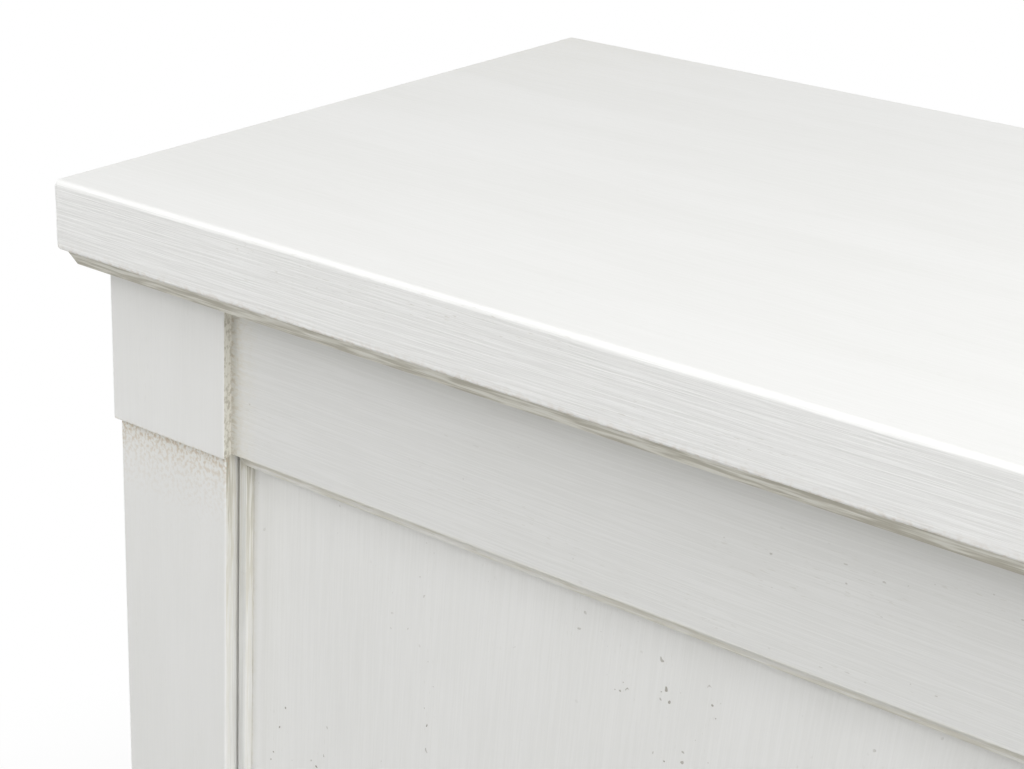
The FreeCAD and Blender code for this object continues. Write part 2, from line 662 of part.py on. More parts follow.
# ---- build and write ------------------------------------------------------------------------
def main():
    export(make_top(), "top_board")
    cornice_front, cornice_left, cornice_back = make_cornice()
    export(cornice_front, "cornice_front")
    export_pair(cornice_left, "cornice")
    export(cornice_back, "top_packing_strip")

    frieze, base_rail, stile, frame_plates, frame_screws = make_front_frame()
    stop_left, stop_right = make_door_stop()
    export(frieze, "frieze_rail")
    export(base_rail, "base_rail")
    export_pair(stile, "front_stile")
    export(Part.Compound(frame_plates), "hinge_frame_plates")
    export(Part.Compound([stop_left, stop_right]), "door_stops")

    pilaster, capital, base_block = make_corner_dress()
    export_pair(pilaster, "pilaster")
    export_pair(capital, "capital_block")
    export_pair(base_block, "base_block")

    shelves, pins = make_shelves()
    shelf_pins = Part.Compound(pins)
    side_frame, side_panel, side_bead = make_side()
    back_panel, back_top_rail, back_bottom_rail = make_back()
    side_front_stile, side_rear_stile, side_top_rail, side_bottom_rail = side_frame
    side_rear_stile = side_rear_stile.cut(back_panel)
    export(side_front_stile, "side_front_stile_left")
    export(mirrored(side_front_stile).cut(shelf_pins), "side_front_stile_right")
    export(side_rear_stile, "side_rear_stile_left")
    export(mirrored(side_rear_stile).cut(shelf_pins), "side_rear_stile_right")
    export_pair(side_top_rail, "side_top_rail")
    export_pair(side_bottom_rail, "side_bottom_rail")
    export_pair(side_panel, "side_panel")
    export_pair(side_bead, "side_bead")
    export(back_panel, "back_panel")
    export(back_top_rail, "back_top_rail")
    export(back_bottom_rail, "back_bottom_rail")

    floor, cleats, foot_blocks, glides = make_floor()
    export(floor, "floor_board")
    export(Part.Compound(cleats), "floor_cleats")
    export(Part.Compound(foot_blocks), "foot_blocks")
    export(Part.Compound(glides), "glides")

    catch, catch_screws, catch_seats = make_catches()
    half = partition_thickness / 2
    partition = board((-half, half), (partition_y, back_frame_y), (floor_z, top_z))
    for piece in (cornice_front, cornice_back, shelf_pins):
        partition = partition.cut(piece)
    for _ in range(2):
        partition = mirrored(cut_for_screws(partition, catch_seats, RIGHT, catch_screw_length))
    export(partition, "partition")
    export(Part.Compound([catch, mirrored(catch)]), "magnetic_catches")

    hat_shelf, side_batten, inner_batten, rod, sockets, socket_screws = make_hanging_space()
    export(hat_shelf, "hat_shelf")
    export(Part.Compound([side_batten, inner_batten]), "rod_battens")
    export(rod, "hanging_rod")
    export(Part.Compound(sockets), "rod_sockets")
    for number, shelf in enumerate(shelves, 1):
        export(shelf, "shelf_%d" % number)
    export(shelf_pins, "shelf_pins")
    fitting_screws = frame_screws + socket_screws + catch_screws + [mirrored(one) for one in catch_screws]
    export(Part.Compound(fitting_screws), "fitting_screws")

    panel, edging, plates, strike, knob, door_screws = make_door()
    export_pair(panel, "door_panel")
    export_pair(Part.Compound(edging), "door_edging")
    export_pair(Part.Compound(plates), "door_hinge_plates")
    export_pair(strike, "door_strike")
    export_pair(knob, "door_knob")
    export_pair(Part.Compound(door_screws), "door_screws")


main()
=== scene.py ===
# %% [markdown]
# # A whitewashed two-door armoire
#
# The real piece is a cabinet of solid boards and framed panels. Its maker brushed the
# wood along the grain so that the soft parts sank, wiped a thin white wash over it, and
# then rubbed a little grey-brown wax into the corners. So the looks are mostly three
# things: arrises that catch the light, very fine lines along the grain, and a stain that
# gathers where two pieces meet.
#
# The imported model is the fixed frame. It is loaded first, and the boxes of its parts are read from it
# for the pieces made here. Nothing made here may reach outside it.

import math
import random

import bpy
import numpy as np
from mathutils import Matrix, Vector


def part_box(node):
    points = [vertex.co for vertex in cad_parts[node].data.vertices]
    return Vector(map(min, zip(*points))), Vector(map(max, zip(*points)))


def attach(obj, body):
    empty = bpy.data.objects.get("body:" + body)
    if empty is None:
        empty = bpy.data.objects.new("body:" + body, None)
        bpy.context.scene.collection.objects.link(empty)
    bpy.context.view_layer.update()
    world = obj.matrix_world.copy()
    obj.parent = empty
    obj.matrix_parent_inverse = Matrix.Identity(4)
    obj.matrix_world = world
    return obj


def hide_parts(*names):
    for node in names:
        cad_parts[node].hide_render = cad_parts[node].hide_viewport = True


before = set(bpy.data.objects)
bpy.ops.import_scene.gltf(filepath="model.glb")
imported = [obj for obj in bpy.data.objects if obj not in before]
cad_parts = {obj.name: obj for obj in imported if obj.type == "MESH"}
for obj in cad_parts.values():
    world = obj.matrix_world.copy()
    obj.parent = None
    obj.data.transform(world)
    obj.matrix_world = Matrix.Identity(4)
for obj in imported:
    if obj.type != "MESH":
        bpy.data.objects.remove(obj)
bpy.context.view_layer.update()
MM = 0.001
X, Y, Z = 0, 1, 2

# %% [markdown]
# ## The camera
#
# The close view looks at the top's front left corner from in front of the doors and a
# little above. Its place is measured from that corner, which comes from the frame, so the
# view follows the cabinet if its size changes. A camera looks along its own -Z axis: the
# three axes are worked out from a turn, a tilt and a small roll, and become the columns of
# its rotation.

# %% Camera
EYE_FROM_CORNER = Vector((0.695752, -0.640038, 0.291731))
TURN = math.radians(30.3816)
TILT = math.radians(23.828)
ROLL = math.radians(4.50997)
LENS = 57.081
SENSOR_WIDTH = 36.0

top_low, top_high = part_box("top_board")
corner = Vector((top_low.x, top_low.y, top_high.z))
ahead = Vector((-math.sin(TURN) * math.cos(TILT), math.cos(TURN) * math.cos(TILT), -math.sin(TILT)))
right = Vector((math.cos(TURN), math.sin(TURN), 0.0))
above = right.cross(ahead)
camera_x = right * math.cos(ROLL) + above * math.sin(ROLL)
camera_y = above * math.cos(ROLL) - right * math.sin(ROLL)

camera = bpy.data.objects.new("camera", bpy.data.cameras.new("camera"))
camera.data.sensor_width = SENSOR_WIDTH
camera.data.lens = LENS
camera.matrix_world = (
    Matrix.Translation(corner + EYE_FROM_CORNER)
    @ Matrix((camera_x, camera_y, -ahead)).transposed().to_4x4()
)
bpy.context.scene.collection.objects.link(camera)
bpy.context.scene.camera = camera
print("the eye is", round(EYE_FROM_CORNER.length, 3), "m from the corner")

# %% [markdown]
# ## Colours and nodes
#
# Colours are written as a paint chart gives them, in sRGB hex, and the renderer wants
# linear light, so one function converts them. A material is a tree of nodes, and one
# function adds a node, sets it up and wires its inputs: a number or a colour is set, and
# a node or a socket is linked.

# %% Colour and node helpers
def linear(hex_colour):
    """An sRGB hex colour as linear red, green, blue and alpha."""
    shares = [int(hex_colour[i:i + 2], 16) / 255 for i in (1, 3, 5)]
    light = [s / 12.92 if s <= 0.04045 else ((s + 0.055) / 1.055) ** 2.4 for s in shares]
    return (*light, 1.0)


def add(tree, kind, inputs=(), **settings):
    """Adds one node to the tree, with its settings, and fills its inputs by name or number."""
    made = tree.nodes.new(kind)
    for name, value in settings.items():
        setattr(made, name, value)
    for key, value in dict(inputs).items():
        named = [s for s in made.inputs if s.enabled and s.name == key]
        socket = made.inputs[key] if isinstance(key, int) else named[0]
        if isinstance(value, bpy.types.Node):
            value = next(s for s in value.outputs if s.enabled)
        if isinstance(value, bpy.types.NodeSocket):
            tree.links.new(value, socket)
        else:
            socket.default_value = value
    return made


def new_material(name):
    """An empty node material and its tree."""
    material = bpy.data.materials.new(name)
    material.use_nodes = True
    material.node_tree.nodes.clear()
    return material, material.node_tree


print("white wash in linear light:", [round(c, 3) for c in linear("#E9E9E5")])

# %% [markdown]
# ## The studio
#
# A pale cabinet is easily burnt out, so the light is kept plain: a white room all round
# at a quarter of full strength, and large soft lamps. Most light comes from high up in
# front, so that the top is brightest, the fronts are a step darker, and the overhang of the
# top shades the cornice under it. Weaker lamps on the other sides keep those readable too.
#
# The room and the floor look white because camera rays see them at a strength of 1, and
# not because more light is poured on the cabinet. Near the cabinet the floor mixes in its
# own lit colour, so that it keeps the shadow.

# %% World
ROOM_LIGHT = 0.12

world = bpy.data.worlds.new("white room")
bpy.context.scene.world = world
world.use_nodes = True
tree = world.node_tree
tree.nodes.clear()
rays = add(tree, "ShaderNodeLightPath")
seen = add(tree, "ShaderNodeMath", {0: rays.outputs["Is Camera Ray"],
           1: rays.outputs["Is Glossy Ray"]}, operation="MAXIMUM")
seen = add(tree, "ShaderNodeMath", {0: seen, 1: rays.outputs["Is Transmission Ray"]},
           operation="MAXIMUM")
room = add(tree, "ShaderNodeBackground", {"Color": linear("#FFFFFF"), "Strength": ROOM_LIGHT})
backdrop = add(tree, "ShaderNodeBackground", {"Color": linear("#FFFFFF"), "Strength": 1.0})
sky = add(tree, "ShaderNodeMixShader", {0: seen, 1: room, 2: backdrop})
add(tree, "ShaderNodeOutputWorld", {"Surface": sky})
print("room light:", ROOM_LIGHT)

# %% Floor
FLOOR_SIZE = 16.0
SHADOW_REACH = (1.0, 2.8)       # metres from the middle, where the lit floor fades out
SHADOW_SHARE = 0.65

floor_mesh = bpy.data.meshes.new("studio_floor")
half = FLOOR_SIZE / 2
floor_mesh.from_pydata([(-half, -half, 0), (half, -half, 0), (half, half, 0), (-half, half, 0)],
                       [], [(0, 1, 2, 3)])
floor = bpy.data.objects.new("studio_floor", floor_mesh)
bpy.context.scene.collection.objects.link(floor)

material, tree = new_material("pale_floor")
place = add(tree, "ShaderNodeTexCoord").outputs["Object"]
distance = add(tree, "ShaderNodeVectorMath", {0: place}, operation="LENGTH").outputs["Value"]
share = add(tree, "ShaderNodeMapRange", {"Value": distance, "From Min": SHADOW_REACH[0],
            "From Max": SHADOW_REACH[1], "To Min": SHADOW_SHARE, "To Max": 0.0},
            interpolation_type="SMOOTHSTEP")
paper = add(tree, "ShaderNodeBsdfDiffuse", {"Color": linear("#F4F4F2")})
white = add(tree, "ShaderNodeEmission", {"Color": linear("#FFFFFF"), "Strength": 1.0})
seen_floor = add(tree, "ShaderNodeMixShader", {0: share, 1: white, 2: paper})
rays = add(tree, "ShaderNodeLightPath")
seen = add(tree, "ShaderNodeMath", {0: rays.outputs["Is Camera Ray"],
           1: rays.outputs["Is Glossy Ray"]}, operation="MAXIMUM")
seen = add(tree, "ShaderNodeMath", {0: seen, 1: rays.outputs["Is Transmission Ray"]},
           operation="MAXIMUM")
surface = add(tree, "ShaderNodeMixShader", {0: seen, 1: paper, 2: seen_floor})
add(tree, "ShaderNodeOutputMaterial", {"Surface": surface})
floor_mesh.materials.append(material)
print("floor:", FLOOR_SIZE, "m square")

# %% Lamps
# Each row: name, place, the point it faces, width and height in metres, watts.
LAMPS = (
    ("over_the_top", (1.0, -0.9, 4.1), (0.1, -0.1, 2.0), 2.4, 2.0, 55.0),
    ("high_front", (0.3, -2.2, 4.8), (-0.1, -0.3, 1.6), 3.0, 2.4, 16.0),
    ("front_left", (-2.6, -2.8, 3.4), (-0.2, -0.3, 1.4), 2.4, 2.4, 58.0),
    ("front_right", (3.0, -3.0, 2.6), (-0.2, -0.3, 1.3), 2.2, 2.2, 21.0),
    ("left_side", (-4.2, 0.2, 2.2), (-0.6, 0.0, 1.2), 2.6, 2.6, 30.0),
    ("right_side", (4.2, -0.6, 2.6), (0.2, -0.2, 1.4), 2.6, 2.6, 60.0),
    ("behind", (1.2, 4.2, 2.6), (0.0, 0.3, 1.1), 3.0, 2.4, 96.0),
)

for name, place, target, width, height, watts in LAMPS:
    lamp = bpy.data.lights.new(name, "AREA")
    lamp.shape = "RECTANGLE"
    lamp.size = width
    lamp.size_y = height
    lamp.energy = watts
    holder = bpy.data.objects.new(name, lamp)
    holder.location = place
    holder.rotation_euler = (Vector(target) - Vector(place)).to_track_quat("-Z", "Y").to_euler()
    bpy.context.scene.collection.objects.link(holder)
    print("lamp", name, watts, "W")

# %% [markdown]
# ## How a board is made
#
# A plain box has knife edges that no hand-finished board has. A Bevel modifier would round
# them all alike. Here each board is swept along its grain instead, which is how a plane
# works: an outline with a rounded arris at each corner is carried from one end to the
# other, and the arris grows and shrinks a little on its way, as sandpaper leaves it. The
# rings are close together near the edges, because there the stain changes fastest.
#
# The sweep also knows its true normals, so flat faces stay flat and arrises turn smoothly.

# %% Outline and spacing
ARC_STEPS = 5
EDGE_STEPS = (1.2 * MM, 4 * MM, 10 * MM, 22 * MM, 50 * MM)
LONGEST_STEP = 70 * MM
SHARPEST = 0.05 * MM


def spaced(length):
    """Shares of a length, close together near both its ends, without the ends."""
    near_end = [step / length for step in EDGE_STEPS if step < length * 0.45]
    first = near_end[-1] if near_end else 0.0
    gaps = max(1, round((1 - 2 * first) * length / LONGEST_STEP))
    middle = [first + (1 - 2 * first) * k / gaps for k in range(1, gaps)]
    return near_end + middle + [1 - share for share in reversed(near_end)]


def rounded(corners, stretch=1.0, inset=0.0):
    """Points and outward normals round an outline of (u, v, radius), anticlockwise and inset."""
    arcs = []
    for i, (u, v, radius) in enumerate(corners):
        here = np.array((u, v))
        arriving = here - np.array(corners[i - 1][:2])
        leaving = np.array(corners[(i + 1) % len(corners)][:2]) - here
        arriving /= np.linalg.norm(arriving)
        leaving /= np.linalg.norm(leaving)
        first = np.array((arriving[1], -arriving[0]))
        last = np.array((leaving[1], -leaving[0]))
        turn = math.atan2(arriving[0] * leaving[1] - arriving[1] * leaving[0], arriving @ leaving)
        outward = math.copysign(1, turn)
        bulge = outward * max(radius * stretch - inset * outward, SHARPEST)
        centre = here - (first + last) * (inset + bulge) / (1 + first @ last)
        arc = []
        for k in range(ARC_STEPS + 1):
            c, s = math.cos(turn * k / ARC_STEPS), math.sin(turn * k / ARC_STEPS)
            normal = np.array((first[0] * c - first[1] * s, first[0] * s + first[1] * c))
            arc.append((centre + bulge * normal, normal))
        arcs.append(arc)
    ring = []
    for i, arc in enumerate(arcs):
        ring += arc
        side = np.array(corners[(i + 1) % len(corners)][:2]) - np.array(corners[i][:2])
        start, normal = arc[-1]
        end = arcs[(i + 1) % len(arcs)][0][0]
        ring += [(start + (end - start) * s, normal) for s in spaced(np.linalg.norm(side))]
    return np.array([p for p, _ in ring]), np.array([n for _, n in ring])


print("steps along a 600 mm side:", len(spaced(0.6)))

# %% The sweep
UNEVEN = 0.16                   # how much an arris grows and shrinks along a board


def box_corners(low, high, grain, radius):
    """The four corners of a board's section. radius is one number, or one for each corner."""
    a, b = (grain + 1) % 3, (grain + 2) % 3
    radii = radius if isinstance(radius, tuple) else (radius,) * 4
    places = ((low[a], low[b]), (high[a], low[b]), (high[a], high[b]), (low[a], high[b]))
    return [(u, v, r) for (u, v), r in zip(places, radii)]


def sweep(low, high, grain, radius=0.8 * MM, end=0.0, mitre=None, square_end=False,
          corners=None, seed="board"):
    """Carries an outline along the grain from low to high. Returns points, normals and faces.
    end rounds the two ends. mitre is (axis, outer face): each line is cut back by its distance
    from that face, at both ends or, with square_end, at the first only."""
    corners = corners or box_corners(low, high, grain, radius)
    a, b = (grain + 1) % 3, (grain + 2) % 3
    chance = random.Random(seed)
    waves = [(chance.uniform(2, 9), chance.uniform(0, 6.28)) for _ in range(3)]
    quarter = [math.pi / 2 * (1 - k / ARC_STEPS) for k in range(ARC_STEPS + 1)] if end else [0.0]
    rings = [(0.0, end * (1 - math.sin(t)), end * (1 - math.cos(t)), -t) for t in quarter]
    rings += [(share, end, 0.0, 0.0) for share in spaced(high[grain] - low[grain])]
    rings += [(1.0, end * (1 - math.sin(t)), end * (1 - math.cos(t)), t) for t in reversed(quarter)]
    points, normals = [], []
    for share, margin, inset, tilt in rings:
        stretch = 1 + UNEVEN * sum(math.sin(f * share * 6.28 + p) for f, p in waves) / 3
        flat, out = rounded(corners, stretch, inset)
        ring = np.zeros((len(flat), 3))
        ring[:, a], ring[:, b] = flat.T
        cut = np.abs(ring[:, mitre[0]] - mitre[1]) if mitre else np.zeros(len(flat))
        first = low[grain] + cut
        last = high[grain] - (0 if square_end else cut)
        inner = first + end + (last - first - 2 * end) * share
        ring[:, grain] = np.select([share == 0.0, share == 1.0], [first + margin, last - margin], inner)
        normal = np.zeros_like(ring)
        normal[:, a], normal[:, b] = out.T * math.cos(tilt)
        normal[:, grain] = math.sin(tilt)
        points.append(ring)
        normals.append(normal)
    size = len(points[0])
    faces = [tuple(reversed(range(size)))]
    for k in range(len(points) - 1):
        for i in range(size):
            j = (i + 1) % size
            faces.append((k * size + i, k * size + j, (k + 1) * size + j, (k + 1) * size + i))
    faces.append(tuple(range((len(points) - 1) * size, len(points) * size)))
    return np.concatenate(points), np.concatenate(normals), faces


print("a sweep 1 m long has", len(sweep(Vector((0, 0, 0)), Vector((1, 0.1, 0.02)), X)[0]), "points")

# %% [markdown]
# ## Where the stain and the painted shade gather
#
# Wax and pigment are wiped off the open faces and stay in the corners, and the wash rubs thin on edges
# that hands and cloths reach. Both depend on the place of each point beside its neighbours, which a
# texture can't know, so they are worked out here, board by board, and kept on the mesh as numbers for
# each point: "patina", which is that stain and also paints shade in a few places (thin lines under the
# cornice and the rail, beside the door edging, on the cornice and on undersides), "rub", a number for
# the rounded arrises that look up or out, which paints a highlight on them, "brushed", which is 1 where
# the grain is wide open and 0 where it was sanded shut, and "pitted", where flecks may show.

# %% Patina helpers and the piece maker
def near(points, axis, value, reach):
    """1 at the plane axis = value, fading to about a third at reach from it."""
    return np.exp(-np.abs(points[:, axis] - value) / reach)


def facing(normals, axis, sign):
    """1 where the surface looks along the axis, that way."""
    return (normals[:, axis] * sign > 0.7).astype(float)


def painted_highlight(points, normals):
    """1 on the middle of an arris that looks up or out, and 0 on flat faces: a painted highlight, mixed
    towards the whitest tone.
    """
    slant = (1 - np.abs(normals).max(axis=1)) / 0.25
    return np.clip(slant, 0, 1) * (normals[:, Z] > -0.1)


def half_open(points, normals):
    """Most faces were brushed lightly."""
    return np.full(len(points), 0.5)


def wide_open(points, normals):
    return np.ones(len(points))


def unpitted(points, normals):
    return np.zeros(len(points))


def make_piece(name, strips, materials, node, body, slot, patina_and_shade=None, rub=None,
               brushed=half_open, pitted=unpitted, painted_highlight=painted_highlight):
    """Joins sweeps into one mesh that stands for a node. materials has one for each strip."""
    points = np.concatenate([strip[0] for strip in strips])
    normals = np.concatenate([strip[1] for strip in strips])
    faces, kinds, offset = [], [], 0
    for number, strip in enumerate(strips):
        faces += [tuple(i + offset for i in face) for face in strip[2]]
        kinds += [number] * len(strip[2])
        offset += len(strip[0])
    mesh = bpy.data.meshes.new(name)
    mesh.from_pydata(points.tolist(), [], faces)
    for material in materials:
        mesh.materials.append(material)
    mesh.polygons.foreach_set("material_index", kinds)
    mesh.polygons.foreach_set("use_smooth", [True] * len(faces))
    rules = {"patina_and_shade": patina_and_shade, "rub": rub, "painted_highlight": painted_highlight, "brushed": brushed, "pitted": pitted}
    for title, rule in rules.items():
        amount = np.clip(rule(points, normals), 0, 1) if rule else np.zeros(len(points))
        mesh.attributes.new(title, "FLOAT", "POINT").data.foreach_set("value", amount.astype(np.float32))
    shading, start = normals[[i for face in faces for i in face]], 0
    for face, polygon in zip(faces, mesh.polygons):
        if len(face) > 4:                      # a sawn end is flat
            shading[start:start + len(face)] = polygon.normal
        start += len(face)
    mesh.normals_split_custom_set(shading.tolist())
    piece = bpy.data.objects.new(name, mesh)
    bpy.context.scene.collection.objects.link(piece)
    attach(piece, body)
    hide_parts(node)
    return piece


# %% [markdown]
# ## Brushed and whitewashed wood
#
# The wood is a light open-grained one. Wire brushing scours the soft wood from between the
# hard lines, and the wash dries thin on the hard ones and thick in the soft ones. The eye
# gets three scales from that: clouds of slightly warmer and cooler white as long as a
# hand, hairlines along the grain, and short grey dashes where a pore stayed open. A satin
# lacquer over it gives a broad dull sheen, so roughness is about 0.5 at the IOR of lacquer.
#
# One noise texture serves all three. Its coordinates are squeezed along the grain, so each
# layer's cells get a real length and width. The pores are really 0.2 mm wide, and they are
# drawn 0.9 mm wide, because finer ones would not show.

# %% Whitewashed wood
WASH_LAYERS = {
    # name: cell length and width in mm, noise detail, the noise values between which it fades in
    "cloud": (300, 70, 3.0, (0.35, 0.68)),
    "brushing": (32, 0.7, 2.0, (0.34, 0.68)),
    "ridges": (60, 1.2, 2.0, (0.42, 0.64)),
    "pores": (5.5, 0.8, 0.0, (0.70, 0.80)),
    "pore_patches": (120, 26, 1.0, (0.48, 0.68)),
    "smears": (30, 2.2, 2.0, (0.38, 0.62)),
    "grains": (3.2, 2.2, 2.0, (0.42, 0.66)),
    "flecks": (3.6, 2.6, 0.0, (0.82, 0.85)),
}
LACQUER_IOR = 1.5


def washed_wood(name, grain, white, shade, line, pore, ridge_and_highlight_white, cream, wax_and_shade_tone, bare):
    """Brushed and washed wood whose grain runs along one axis, in eight tones."""
    material, tree = new_material(name)
    place = add(tree, "ShaderNodeTexCoord").outputs["Object"]
    layer = {}
    for title, (length, width, detail, (start, full)) in WASH_LAYERS.items():
        cells = [1 / (width * MM)] * 3
        cells[grain] = 1 / (length * MM)
        squeezed = add(tree, "ShaderNodeMapping", {"Vector": place, "Scale": cells})
        noise = add(tree, "ShaderNodeTexNoise",
                    {"Vector": squeezed, "Scale": 1.0, "Detail": detail, "Roughness": 0.55})
        layer[title] = add(tree, "ShaderNodeMapRange",
                           {"Value": noise, "From Min": start, "From Max": full},
                           interpolation_type="SMOOTHSTEP")
    patina_and_shade = add(tree, "ShaderNodeAttribute", attribute_name="patina_and_shade").outputs["Fac"]
    rub = add(tree, "ShaderNodeAttribute", attribute_name="rub").outputs["Fac"]
    painted_highlight_share = add(tree, "ShaderNodeAttribute", attribute_name="painted_highlight").outputs["Fac"]
    brushed = add(tree, "ShaderNodeAttribute", attribute_name="brushed").outputs["Fac"]
    pitted = add(tree, "ShaderNodeAttribute", attribute_name="pitted").outputs["Fac"]

    # Wax runs in streaks where the grain is open, and stays as specks where it is shut. The same cream
    # and wax tones also paint the shade that these numbers carry in a few places.
    patchy = add(tree, "ShaderNodeMix", {"Factor": brushed, "A": layer["grains"], "B": layer["smears"]},
                 data_type="FLOAT")
    patchy = add(tree, "ShaderNodeMath", {0: patchy, 1: 0.75, 2: 0.35}, operation="MULTIPLY_ADD")
    stain_and_shade = add(tree, "ShaderNodeMath", {0: patina_and_shade, 1: patchy}, operation="MULTIPLY")
    cream_share = add(tree, "ShaderNodeMapRange", {"Value": stain_and_shade, "From Min": 0.02, "From Max": 0.35})
    wax_and_shade_share = add(tree, "ShaderNodeMapRange", {"Value": stain_and_shade, "From Min": 0.25, "From Max": 0.95})
    worn = add(tree, "ShaderNodeMath", {0: rub, 1: layer["grains"]}, operation="MULTIPLY")

    # Open pores and flecks come in patches, where the brush bit deepest.
    open_pores = add(tree, "ShaderNodeMath", {0: layer["pores"], 1: layer["pore_patches"]},
                     operation="MULTIPLY")
    open_pores = add(tree, "ShaderNodeMath", {0: open_pores, 1: brushed}, operation="MULTIPLY")
    flecks = add(tree, "ShaderNodeMath", {0: layer["flecks"], 1: layer["pore_patches"]},
                 operation="MULTIPLY")
    flecks = add(tree, "ShaderNodeMath", {0: flecks, 1: pitted}, operation="MULTIPLY")
    lines = add(tree, "ShaderNodeMath", {0: layer["brushing"], 1: brushed}, operation="MULTIPLY")
    ridges = add(tree, "ShaderNodeMath", {0: layer["ridges"], 1: brushed}, operation="MULTIPLY")

    colour = linear(white)
    for share, strength, tone in (
        (layer["cloud"], 0.50, shade),
        (lines, 0.36, line),
        (ridges, 0.50, ridge_and_highlight_white),
        (open_pores, 0.50, pore),
        # A painted highlight: lit arrises, and the other places that its rules pick, turn whiter.
        (painted_highlight_share, 0.70, ridge_and_highlight_white),
        (cream_share, 0.75, cream),
        (wax_and_shade_share, 0.90, wax_and_shade_tone),
        (worn, 0.85, bare),
        (flecks, 0.85, "#857E6E"),
    ):
        weight = add(tree, "ShaderNodeMath", {0: share, 1: strength}, operation="MULTIPLY")
        colour = add(tree, "ShaderNodeMix", {"Factor": weight, "A": colour, "B": linear(tone)},
                     data_type="RGBA")

    relief = add(tree, "ShaderNodeMath", {0: ridges, 1: lines}, operation="SUBTRACT")
    relief = add(tree, "ShaderNodeMath", {0: relief, 1: open_pores}, operation="SUBTRACT")
    bump = add(tree, "ShaderNodeBump", {"Strength": 0.30, "Distance": 0.20 * MM, "Height": relief})
    sheen = add(tree, "ShaderNodeMapRange",
                {"Value": layer["brushing"], "To Min": 0.46, "To Max": 0.58})
    lacquer = add(tree, "ShaderNodeBsdfPrincipled", {"Base Color": colour, "Roughness": sheen,
                  "IOR": LACQUER_IOR, "Normal": bump})
    add(tree, "ShaderNodeOutputMaterial", {"Surface": lacquer})
    return material


OUTSIDE_TONES = ("#EAEAE8", "#E4E4E1", "#D9D9D6", "#C2BFB4", "#F6F6F5", "#E0DDD0", "#ADA899",
                 "#C6B59F")
# The rails get a darker copy of every tone. On the frieze rail this is painted shade, standing for the
# shade under the top's overhang.
SHADED_RAIL_TONES = ("#E3E3E1", "#DFDFDC", "#D6D6D3", "#BEBBB0", "#EFEFEE", *OUTSIDE_TONES[5:])
INSIDE_TONES = ("#E2DED2", "#D3CCBB", "#CBC3B0", "#B3A68E", "#E8E5DB", "#D6CDB6", "#A3967C",
                "#C6B294")
whitewash = [washed_wood("whitewashed_wood_along_" + axis, grain, *OUTSIDE_TONES)
             for grain, axis in enumerate("xyz")]
inner_wash = [washed_wood("thinly_washed_wood_along_" + axis, grain, *INSIDE_TONES)
              for grain, axis in enumerate("xyz")]
rail_wash_with_painted_shade = washed_wood("whitewashed_wood_with_painted_shade_along_x", X, *SHADED_RAIL_TONES)
print("wood finishes:", [m.name for m in (*whitewash, *inner_wash, rail_wash_with_painted_shade)])

# %% [markdown]
# ## The top board
#
# One thick board, its grain along the front. Its upper arris is rounded to about 4 mm and catches both
# the lamp above and the one in front, so it reads as a bright line, and a painted highlight on that
# arris and a painted lighter front face add to it. The lower arris is sharper, and there the wash has
# rubbed through to a warm line of wood.

# %% Top board
TOP_ARRIS = 4 * MM
TOP_LOWER_ARRIS = 2 * MM


def top_stain_and_painted_shade(points, normals):
    # Darker and beiger towards the back left: faint beige streaks, and painted shade where the light
    # falls off. The underside is darkened as painted shade.
    back_left_stain_and_shade = near(points, X, top_low.x, 0.22) * near(points, Y, top_high.y, 0.25)
    return 0.16 * back_left_stain_and_shade + 0.30 * facing(normals, Z, -1)


def top_rub(points, normals):
    return 0.9 * near(points, Z, top_low.z, 1.6 * MM) * (normals[:, Y] < -0.3)


def top_brushed(points, normals):
    """The front edge is wide open. The upper face was sanded nearly smooth before the wash."""
    return 1 - 0.75 * facing(normals, Z, 1)


def top_painted_highlight(points, normals):
    # The painted arris highlight, and a third of it on the faces that look sideways, which paints the
    # front lighter than the shaded rails below.
    return np.maximum(painted_highlight(points, normals), 0.3 * (np.abs(normals[:, Z]) < 0.5))


radii = (TOP_LOWER_ARRIS, TOP_LOWER_ARRIS, TOP_ARRIS, TOP_ARRIS)
board = sweep(top_low, top_high, X, radii, TOP_ARRIS, seed="top")
make_piece("top", [board], [whitewash[X]], "top_board", "carcass", "whitewashed_wood",
           top_stain_and_painted_shade, top_rub, top_brushed, painted_highlight=top_painted_highlight)
print("top:", len(board[0]), "points")

# %% [markdown]
# ## The cornice
#
# A strip under the top whose face leans back towards the cabinet. It sits in the shade of the top and
# nobody wipes it, and its colour is darkened all over, partly as waxed wood and partly as painted shade,
# so it is the darkest, warmest wood of the front. The three strips meet in mitres at the front corners,
# which the sweep cuts by distance from the outer face.

# %% Cornice
CORNICE_SPLAY = 4.7 * MM


def cornice_patina_and_painted_shade(points, normals):
    # Dark all over and along its top and bottom edges: partly warm wax, partly painted shade under the
    # top.
    low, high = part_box("cornice_front")
    return 0.78 + 0.4 * near(points, Z, high.z, 1.0 * MM) + 0.6 * near(points, Z, low.z, 0.6 * MM)


for side, grain, mitre_axis in (("front", X, Y), ("left", Y, X), ("right", Y, X)):
    node = "cornice_" + side
    low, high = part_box(node)
    corners = box_corners(low, high, grain, 0.4 * MM)
    if side == "front":
        corners[0] = (low.y + CORNICE_SPLAY, low.z, 0.6 * MM)
    elif side == "left":
        corners[0] = (low.z, low.x + CORNICE_SPLAY, 0.6 * MM)
    else:
        corners[3] = (low.z, high.x - CORNICE_SPLAY, 0.6 * MM)
    outer = high.x if side == "right" else low[mitre_axis]
    strip = sweep(low, high, grain, mitre=(mitre_axis, outer), square_end=side != "front",
                  corners=corners, seed=node)
    make_piece(node + "_strip", [strip], [whitewash[grain]], node, "carcass",
               "whitewashed_wood", cornice_patina_and_painted_shade, brushed=wide_open)
    print(node, "is", round((high[grain] - low[grain]) / MM), "mm long")

